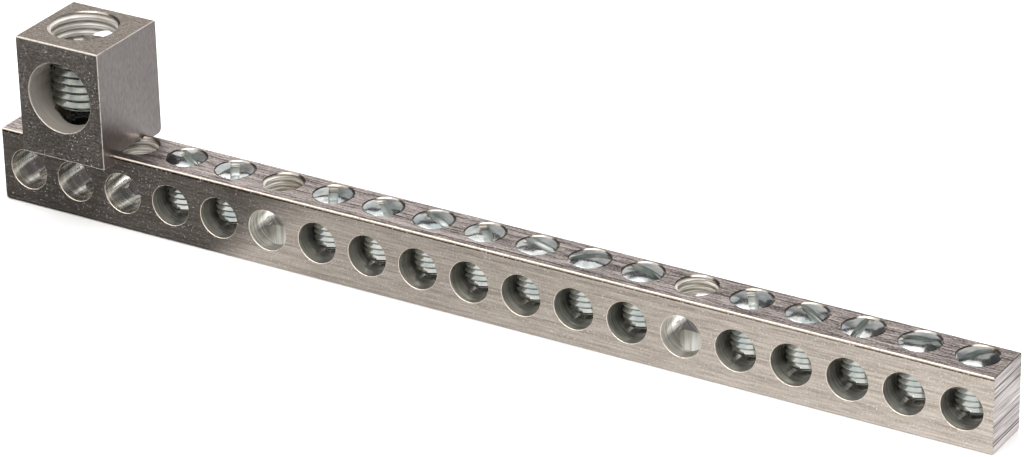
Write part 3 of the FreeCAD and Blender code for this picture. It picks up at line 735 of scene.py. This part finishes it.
def extruded_block(name, corners, x_low, x_high, end_edge):
    """Closed length of a section along X, in millimetres, with its end edges eased and finished alike."""
    section, on_arc = rounded(corners)
    end = rounded(corners, END_EDGE)[0]
    form = bmesh.new()
    mark = form.faces.layers.int.new(MARK)
    rings = [[form.verts.new((x, y, z)) for y, z in outline] for x, outline in (
        (x_low, end), (x_low + END_EDGE, section), (x_high - END_EDGE, section), (x_high, end))]
    form.faces.new(rings[0])
    form.faces.new(rings[-1])
    for near, far in zip(rings, rings[1:]):
        # Faces on small arcs take the edge finish: partly wear, partly a painted highlight
        for i, worn_and_lit in enumerate(on_arc):
            strip = form.faces.new((near[i - 1], near[i], far[i], far[i - 1]))
            side = "Worn and lit edge" if worn_and_lit else "Skin"
            strip[mark] = BLOCK_FINISHES.index(side if near is rings[1] else end_edge)
    bmesh.ops.recalc_face_normals(form, faces=form.faces[:])
    mesh = bpy.data.meshes.new(name)
    form.to_mesh(mesh)
    form.free()
    return mesh


print("edges up to", HIGHLIT_WEAR_RADIUS, "mm are worn")

# %% [markdown]
# The bar's long edges are barely broken at the top and rounder at the base. The lug is a saddle: its section
# steps down in front of the bar and behind it, with a small clearance. Corners that nothing rubs stay square.

# %% Bar and lug stock
TOP_EDGE, BACK_EDGE, BASE_EDGE = 0.17, 0.14, 0.5
front, back_face, top = bar_low.y, bar_high.y, bar_high.z
bar_block = extruded_block("bar_stock", [(front, 0, BASE_EDGE), (back_face, 0, BASE_EDGE),
                                         (back_face, top, BACK_EDGE), (front, top, TOP_EDGE)],
                           bar_low.x, bar_high.x, "Skin")
SADDLE_CLEARANCE = 0.05
BACK_LIP_DROP = 1.1
LUG_BROW, LUG_HEEL, LUG_CROWN = 0.2, 0.9, 0.4
saddle_front, saddle_back = front - SADDLE_CLEARANCE, back_face + SADDLE_CLEARANCE
back_lip = top - BACK_LIP_DROP
lug_block = extruded_block("lug_stock", [
    (lug_low.y, lug_low.z, LUG_BROW), (saddle_front, lug_low.z, 0), (saddle_front, top, 0),
    (saddle_back, top, 0), (saddle_back, back_lip, 0), (lug_high.y, back_lip, LUG_HEEL),
    (lug_high.y, lug_high.z, LUG_CROWN), (lug_low.y, lug_high.z, LUG_BROW)],
    lug_low.x, lug_high.x, "Worn and lit edge")
print("blocks:", len(bar_block.vertices), "and", len(lug_block.vertices), "points")

# %% [markdown]
# The workshop tree serves both blocks. Its row of tools is one tool on the points of a line, so the bar
# gets nineteen holes and the lug one. A tapped hole ends in a cone, as the tap drill's point leaves it,
# and a plain drill may follow on from there: through the bar's floor at the two mounting holes, and down
# to the fixing screw's seat in the lug.

# %% The workshop tree
HOLE_STEPS = 64
SQUARE_ON = 0.9999
TOOL_INPUTS = {**THREAD_INPUTS, "Holes": "Int", "Row start": "Vector", "Row step": "Vector",
               "Tap axis": "Vector", "Wire radius": "Float", "Wire length": "Float", "Wire middle": "Vector",
               "Mouth narrow": "Float", "Mouth wide": "Float", "Mouth depth": "Float",
               "Front mouth": "Vector", "Back mouth": "Vector", "Point radius": "Float",
               "Point spread": "Float", "Point length": "Float", "Point foot": "Vector",
               "Sink narrow": "Float", "Sink wide": "Float", "Sink depth": "Float", "Sink foot": "Vector",
               "Drill radius": "Float", "Drill length": "Float", "Drill middle": "Vector", "Drills": "Int",
               "Drill step": "Vector", "Pilot radius": "Float", "Pilot length": "Float",
               "Pilot middle": "Vector", **dict.fromkeys((*BLOCK_FINISHES, "Sawn", "Top"), "Material")}
FORWARD, BACKWARD = (math.radians(-90), 0, 0), (math.radians(90), 0, 0)


def workshop_tree():
    """Tree that drills, countersinks and taps a block, and gives its faces their finishes."""
    tree, given = new_tree("workshop", TOOL_INPUTS)

    def row(tool, count, start, step, finish):
        """Copies of a tool on a line, marked with the finish that they leave."""
        line = add(tree, "GeometryNodeMeshLine", count, None, start, step)
        tools = add(tree, "GeometryNodeInstanceOnPoints", line, into={"Instance": tool})
        tools = add(tree, "GeometryNodeRealizeInstances", tools)
        return marked(tree, tools, BLOCK_FINISHES.index(finish))

    def hole_row(tool, finish):
        """One copy of a tool for each wire hole."""
        return row(tool, given["Holes"], given["Row start"], given["Row step"], finish)

    def cut(block, tool):
        """The block without the tool's room."""
        return add(tree, "GeometryNodeMeshBoolean", into={"Mesh 1": block, "Mesh 2": tool},
                   operation="DIFFERENCE", solver="MANIFOLD")

    work = given["Geometry"]
    drill = add(tree, "GeometryNodeMeshCylinder", HOLE_STEPS, 1, 1, given["Wire radius"],
                given["Wire length"])
    drill = add(tree, "GeometryNodeTransform", drill, given["Wire middle"], FORWARD)
    work = cut(work, hole_row(drill, "Drilled"))
    for mouth, way in (("Front mouth", FORWARD), ("Back mouth", BACKWARD)):
        sink = add(tree, "GeometryNodeMeshCone", HOLE_STEPS, 1, 1, given["Mouth narrow"],
                   given["Mouth wide"], given["Mouth depth"])
        sink = add(tree, "GeometryNodeTransform", sink, given[mouth], way)
        # The cross holes' mouths take the edge finish too, as a painted highlight around each rim
        work = cut(work, hole_row(sink, "Worn and lit edge"))

    tap = threaded_rod(tree, given)
    point = add(tree, "GeometryNodeMeshCone", TURN_STEPS, 1, 1, given["Point spread"],
                given["Point radius"], given["Point length"])
    point = add(tree, "GeometryNodeTransform", point, given["Point foot"])
    tap = add(tree, "GeometryNodeMeshBoolean", into={"Mesh 2": [tap, point]},
              operation="INTERSECT", solver="MANIFOLD")
    tap = add(tree, "GeometryNodeTransform", tap, given["Tap axis"])
    work = cut(work, hole_row(tap, "Tapped"))
    sink = add(tree, "GeometryNodeMeshCone", TURN_STEPS, 1, 1, given["Sink wide"], given["Sink narrow"],
               given["Sink depth"])
    sink = add(tree, "GeometryNodeTransform", sink, given["Sink foot"])
    work = cut(work, hole_row(sink, "Tap rim"))

    for tool, count, step in (("Drill", given["Drills"], given["Drill step"]), ("Pilot", 1, None)):
        drill = add(tree, "GeometryNodeMeshCylinder", HOLE_STEPS, 1, 1, given[f"{tool} radius"],
                    given[f"{tool} length"])
        work = cut(work, row(drill, count, given[f"{tool} middle"], step, "Drilled"))

    # No finish has this number, so the tapped threads keep their creases
    shaded = to_metres_with_creases(tree, work, len(BLOCK_FINISHES))
    normal = add(tree, "GeometryNodeInputNormal")
    size = add(tree, "ShaderNodeVectorMath", normal, operation="ABSOLUTE")
    along, across, up = add(tree, "ShaderNodeSeparateXYZ", size).node.outputs
    largest = add(tree, "ShaderNodeMath", add(tree, "ShaderNodeMath", along, across, operation="MAXIMUM"), up,
                  operation="MAXIMUM")
    flat = add(tree, "FunctionNodeCompare", largest, SQUARE_ON, operation="GREATER_THAN")
    shaded = add(tree, "GeometryNodeSetShadeSmooth", shaded, flat, domain="FACE",
                 into={"Shade Smooth": False})
    real = add(tree, "GeometryNodeRealizeInstances", shaded)
    finished = with_finishes(tree, real, [given[finish] for finish in BLOCK_FINISHES])
    for facing, finish in ((along, "Sawn"), (up, "Top")):
        faces = add(tree, "FunctionNodeCompare", facing, SQUARE_ON, operation="GREATER_THAN")
        finished = add(tree, "GeometryNodeSetMaterial", finished, faces, given[finish])
    add(tree, "NodeGroupOutput", finished)
    return tree


workshop = workshop_tree()
print("workshop tree:", len(workshop.nodes), "nodes")

# %% [markdown]
# The tools' sizes follow from the screws that need room: a tap is a small clearance wider than its screw and
# runs in step with the screw's thread. A tool starts a little outside the face that it enters, so that the
# boolean leaves no skin there.

# %% Tool sizes
THREAD_CLEARANCE = 0.05
OVERCUT = 0.5
SPECK = 0.01


def tool_sizes(wire_r, wire_z, near, far, mouth, tap_r, pitch, tap_top, tap_end, step_z, sink):
    """Inputs for the cross drill with its two countersinks, and for the tap with its own."""
    thread = thread_sizes(tap_r, pitch, tap_end - tap_r, tap_top + OVERCUT, step_z, TAP_DEPTH, TAP_CREST)
    sink_depth = tap_r + sink - thread["Core radius"]
    length = tap_top + OVERCUT - tap_end + tap_r
    return {**thread, "Wire radius": wire_r, "Wire length": far - near + 2 * OVERCUT,
            "Wire middle": (0, (near + far) / 2, wire_z), "Mouth narrow": wire_r,
            "Mouth wide": wire_r + mouth + OVERCUT, "Mouth depth": mouth + OVERCUT,
            "Front mouth": (0, near - OVERCUT, wire_z), "Back mouth": (0, far + OVERCUT, wire_z),
            "Sink narrow": thread["Core radius"], "Sink wide": tap_r + sink + OVERCUT,
            "Sink depth": sink_depth + OVERCUT, "Sink foot": (0, 0, tap_top - sink_depth),
            "Point length": length + tap_r, "Tap rim": countersunk}


print("screws have", THREAD_CLEARANCE, "mm of room all round")

# %% [markdown]
# In the bar the tap goes through the wire hole and ends in a cone near its floor, and at the two mounting
# holes the drill goes on through the floor. The bar needs no pilot hole, so its pilot is a speck below it.

# %% The tapped bar
WIRE_HOLE_R, WIRE_MOUTH = 3.25, 0.08
TAP_MOUTH = 0.0
MOUNT_HOLE_R = mounts["mounting_holes"]["dims"]["hole_r_mm"]
tap_r = CLAMP_R + THREAD_CLEARANCE
tap_end = clamp_low.z + TIP_CHAMFER - THREAD_CLEARANCE
bar_sizes = tool_sizes(WIRE_HOLE_R, WIRE_Z, front, back_face, WIRE_MOUTH, tap_r, CLAMP_PITCH, top, tap_end,
                       clamp_low.z, TAP_MOUTH)
bar_sizes.update({
    "Holes": HOLE_COUNT, "Row start": (hole_x(1), 0, 0), "Row step": (HOLE_PITCH, 0, 0),
    "Tap axis": (0, 0, 0), "Point radius": SPECK, "Point spread": bar_sizes["Point length"] + SPECK,
    "Point foot": (0, 0, tap_end - tap_r),
    "Drill radius": MOUNT_HOLE_R, "Drill length": WIRE_Z + OVERCUT, "Drills": 2,
    "Drill middle": (hole_x(FIRST_MOUNT), 0, (WIRE_Z - OVERCUT) / 2), "Drill step": (MOUNT_SPACING, 0, 0),
    "Pilot radius": SPECK, "Pilot length": SPECK, "Pilot middle": (0, 0, -10 * OVERCUT),
    "Skin": bar_skin, "Worn and lit edge": bar_edge, "Drilled": drilled, "Tapped": tapped, "Sawn": sawn_end,
    "Top": bar_top})
tapped_bar = make_piece("tapped_bar", bar_block, workshop, bar_sizes)

# %% [markdown]
# In the lug the tap reaches one turn below its screw and narrows there to the tap drill's size, and that
# drill goes on to the fixing screw's seat. The pilot is the fixing screw's own hole through the seat. Both
# pieces ride on the bar's body.

# %% The bored lug
LUG_WIRE_R, LUG_WIRE_MOUTH = 5.65, 0.1
LUG_TAP_MOUTH, LUG_REACH = -0.2, 1.27
ACCESS_R, SEAT_FLOOR, FIXING_CLEARANCE = 4.95, 1.5, 0.15
set_axis = (set_low + set_high) / 2
lug_tap_r = SET_R + THREAD_CLEARANCE
lug_tap_end = set_low.z + LUG_TIP_CHAMFER - LUG_REACH - THREAD_CLEARANCE
lug_sizes = tool_sizes(LUG_WIRE_R, LUG_WIRE_Z, lug_low.y, lug_high.y, LUG_WIRE_MOUTH, lug_tap_r, LUG_PITCH,
                       lug_high.z, lug_tap_end, set_low.z, LUG_TAP_MOUTH)
seat_z = top + SEAT_FLOOR
access_end = lug_tap_end - lug_tap_r + ACCESS_R
off_axis = (set_axis.x - LUG_X, set_axis.y)
lug_sizes.update({
    "Holes": 1, "Row start": (LUG_X, 0, 0), "Row step": (0, 0, 0), "Tap axis": (*off_axis, 0),
    "Sink foot": (*off_axis, lug_sizes["Sink foot"][2]),
    "Point radius": ACCESS_R, "Point spread": ACCESS_R + lug_sizes["Point length"],
    "Point foot": (0, 0, access_end),
    "Drill radius": ACCESS_R, "Drill length": LUG_WIRE_Z - seat_z, "Drills": 1,
    "Drill middle": (set_axis.x, set_axis.y, (LUG_WIRE_Z + seat_z) / 2), "Drill step": (0, 0, 0),
    "Pilot radius": CLAMP_R + FIXING_CLEARANCE, "Pilot length": 2 * SEAT_FLOOR,
    "Pilot middle": (LUG_X, 0, seat_z - OVERCUT), "Skin": lug_skin, "Worn and lit edge": lug_edge,
    "Drilled": bored, "Tapped": lug_tapped, "Sawn": sawn_side, "Top": lug_top})
bored_lug = make_piece("bored_lug", lug_block, workshop, lug_sizes)

for piece, node, slot in ((tapped_bar, "bar", "bar_aluminium"), (bored_lug, "lug", "lug_aluminium")):
    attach(piece, "bar")
    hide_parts(node)

# %% [markdown]
# ## Floor, cards and light
# The bar lies on a plain white table. Its paint is matt and hardly uneven, so that the shadow is all that
# shows on it.

# %% The table
FLOOR_SIZE = 20.0
TABLE_Z = -0.05 * MM
COAT_SIZE = 40.0


def sheet(name, corners, material):
    """Four-cornered sheet, in metres, that is no part of the object."""
    mesh = bpy.data.meshes.new(name)
    mesh.from_pydata(corners, [], [(0, 1, 2, 3)])
    mesh.materials.append(material)
    flat = bpy.data.objects.new(name, mesh)
    bpy.context.scene.collection.objects.link(flat)
    flat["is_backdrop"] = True
    return flat


def lying(x_low, x_high, y_low, y_high, z):
    """Corners of a level sheet."""
    return [(x_low, y_low, z), (x_high, y_low, z), (x_high, y_high, z), (x_low, y_high, z)]


def table_paint():
    """Matt white paint with a barely uneven coat."""
    material, tree, shader, place = new_finish("matt_white_table", metallic=0.0)
    coat = add(tree, "ShaderNodeTexNoise", place, into={"Scale": per_metre(COAT_SIZE)[0]})
    tint = add(tree, "ShaderNodeMix", data_type="RGBA",
               into={0: coat, 6: linear("f4f4f3"), 7: linear("f6f6f5")}).node.outputs[2]
    tree.links.new(tint, shader.inputs["Base Color"])
    shader.inputs["Roughness"].default_value = 0.9
    shader.inputs["Specular IOR Level"].default_value = 0.0
    return material


sheet("table", lying(-FLOOR_SIZE, FLOOR_SIZE, -FLOOR_SIZE, FLOOR_SIZE, TABLE_Z), table_paint())
print("table", 2 * FLOOR_SIZE, "m wide")

# %% [markdown]
# A satin metal shows what is around it more than the light itself, so a photographer sets cards around it.
# Here they are seen only in the metal. On the table lie a dark card before the lug, shading over to white
# along the bar, a bright strip close behind the bar, a grey card farther back and a white one beside the
# sawn end. Upright stand a graded wall and a bright sky card behind, and a white wall in front.

# %% Reflection cards
# Between the table and the bar's underside
CARD_Z = -0.02 * MM


def standing(x_low, x_high, y, z_low, z_high):
    """Corners of an upright sheet along the bar."""
    return [(x_low, y, z_low), (x_high, y, z_low), (x_high, y, z_high), (x_low, y, z_high)]


def graded_card(name, stops):
    """Glowing paint whose brightness follows stops of (x in millimetres, brightness) along the bar."""
    material = bpy.data.materials.new(name)
    material.use_nodes = True
    tree = material.node_tree
    tree.nodes.clear()
    place = tree.nodes.new("ShaderNodeTexCoord").outputs["Object"]
    along = add(tree, "ShaderNodeSeparateXYZ", place)
    low, high = stops[0][0], stops[-1][0]
    share = add(tree, "ShaderNodeMapRange", along, low * MM, high * MM, 0.0, 1.0)
    ramp = add(tree, "ShaderNodeValToRGB", share)
    elements = ramp.node.color_ramp.elements
    while len(elements) < len(stops):
        elements.new(1.0)
    for element, (x, brightness) in zip(elements, stops):
        element.position = (x - low) / (high - low)
        element.color = (brightness, brightness, brightness, 1.0)
    add(tree, "ShaderNodeOutputMaterial", add(tree, "ShaderNodeEmission", ramp, 1.0))
    return material


def reflection_card(name, corners, stops):
    """Glowing card that only mirrors see."""
    card = sheet(name, corners, graded_card(f"{name}_paint", stops))
    for ray in ("camera", "diffuse", "transmission", "volume_scatter", "shadow"):
        setattr(card, f"visible_{ray}", False)
    print(name, "from", corners[0], "to", corners[2])


reflection_card("front_card", lying(-0.4, 0.4, -0.3, 0.009, CARD_Z),
                [(-200, 0.14), (-95, 0.14), (-85, 0.07), (-70, 0.075), (-62, 0.11), (-46, 0.16),
                 (-39.5, 0.95), (-34, 0.92), (-28, 0.77), (-15, 0.77), (85, 1.34)])
reflection_card("near_card", lying(-0.3, 0.3, 0.009, 0.018, CARD_Z),
                [(-90, 0.4), (-58, 0.4), (-52, 2.6), (84, 2.6), (88, 1.2), (90, 1.2)])
reflection_card("back_card", lying(-0.3, 0.3, 0.018, 0.2, CARD_Z),
                [(-90, 0.60), (40, 0.60), (75, 0.95), (90, 0.95)])
reflection_card("end_card", lying(0.0845, 0.3, -0.005, 0.009, 0.5 * CARD_Z), [(80, 1.2), (300, 1.2)])
reflection_card("back_wall", standing(-0.5, 0.0, 0.3, 0.0, 0.30),
                [(-260, 1.3), (-238, 1.2), (-226, 0.4), (-180, 0.4), (-136, 0.82), (-100, 0.84)])
reflection_card("sky_card", standing(-1.0, 0.0, 0.3, 0.46, 1.2), [(-1000, 2.0), (0, 2.0)])
reflection_card("front_wall", standing(-1.2, 0.6, -0.5, 0.12, 1.3), [(-1200, 1.8), (600, 1.8)])

# %% [markdown]
# Two soft boxes light the bar, one from behind on the left and one from the front. A wide fill overhead
# brightens the table without showing in the metal, and the room adds a faint even light.

# %% Soft boxes and room
ROOM_TINT, ROOM_LIGHT = "fbf5fb", 0.14


def soft_box(name, azimuth, elevation, distance, width, height, radiance):
    """Panel that faces the bar's middle from this direction, as bright as radiance."""
    light = bpy.data.lights.new(name, "AREA")
    light.shape = "RECTANGLE"
    light.size, light.size_y = width, height
    light.energy = radiance * math.pi * width * height
    panel = bpy.data.objects.new(name, light)
    panel.matrix_world = (Matrix.Rotation(math.radians(azimuth), 4, "Z")
                          @ Matrix.Rotation(math.radians(90 - elevation), 4, "X")
                          @ Matrix.Translation((0, 0, distance)))
    bpy.context.scene.collection.objects.link(panel)
    print(f"{name}: {light.energy:.2f} W")
    return panel


soft_box("key_soft_box", 223, 66, 0.9, 0.45, 0.34, 3.6)
soft_box("front_soft_box", 20, 62, 0.9, 0.80, 0.40, 3.2)
table_fill = soft_box("table_fill", 0, 90, 1.5, 2.5, 2.5, 2.5)
table_fill.visible_glossy = False

world = bpy.data.worlds.new("studio")
world.use_nodes = True
background = world.node_tree.nodes["Background"]
background.inputs["Color"].default_value = linear(ROOM_TINT)
background.inputs["Strength"].default_value = ROOM_LIGHT
bpy.context.scene.world = world
bpy.context.scene.view_settings.view_transform = "Standard"

# %% Sizes printed, and the end
visual_box = [list(corner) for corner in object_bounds()]
for name, box in (("solids", cad_box), ("dressed", visual_box)):
    print(name, [[round(place / MM, 2) for place in corner] for corner in box])
